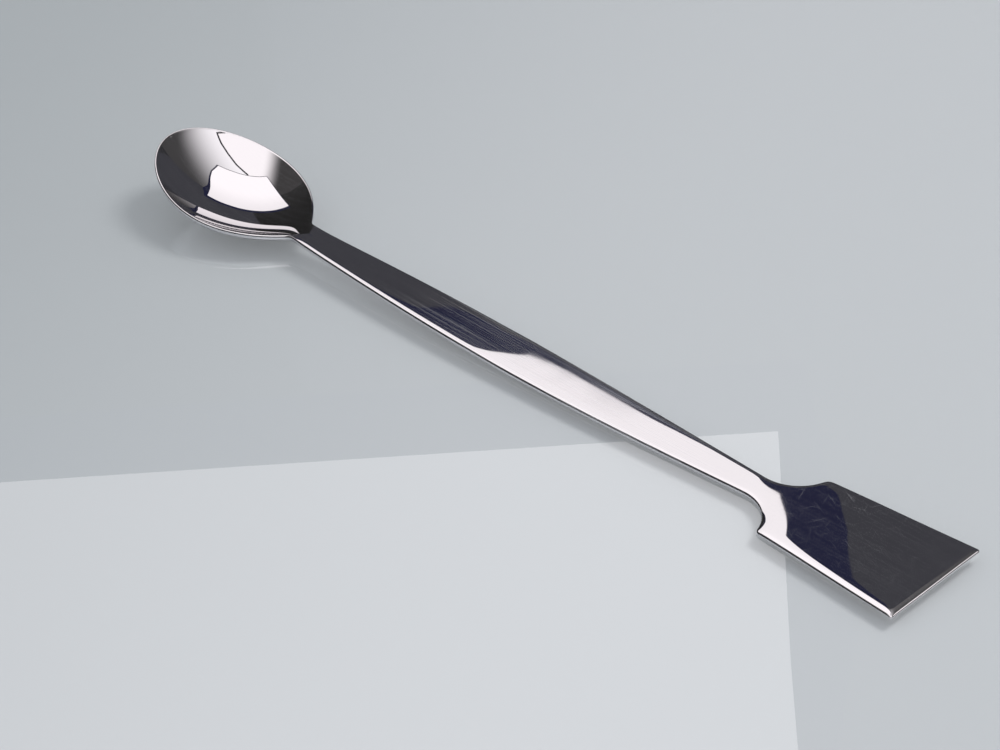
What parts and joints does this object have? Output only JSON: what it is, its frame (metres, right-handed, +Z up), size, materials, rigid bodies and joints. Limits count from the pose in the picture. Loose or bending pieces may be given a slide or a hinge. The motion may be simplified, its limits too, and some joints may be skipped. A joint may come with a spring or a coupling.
{
  "type": "lab spatula",
  "caption": "Flat steel laboratory spatula with a dished spoon bowl at one end, a waisted handle and a flat square-ended blade at the other.",
  "frame": {"origin": "on the bench, under the middle of the length and width", "axes": "+X along the spatula from the spoon bowl towards the flat blade, Y across it, +Z up with the bowl open upwards"},
  "size_m": [0.21, 0.029, 0.012],
  "materials": {
    "polished_steel": "mirror-polished stainless steel with fine lengthwise scratches"
  },
  "bodies": {
    "root": {"spoon_spatula": "polished_steel"}
  },
  "joints": []
}
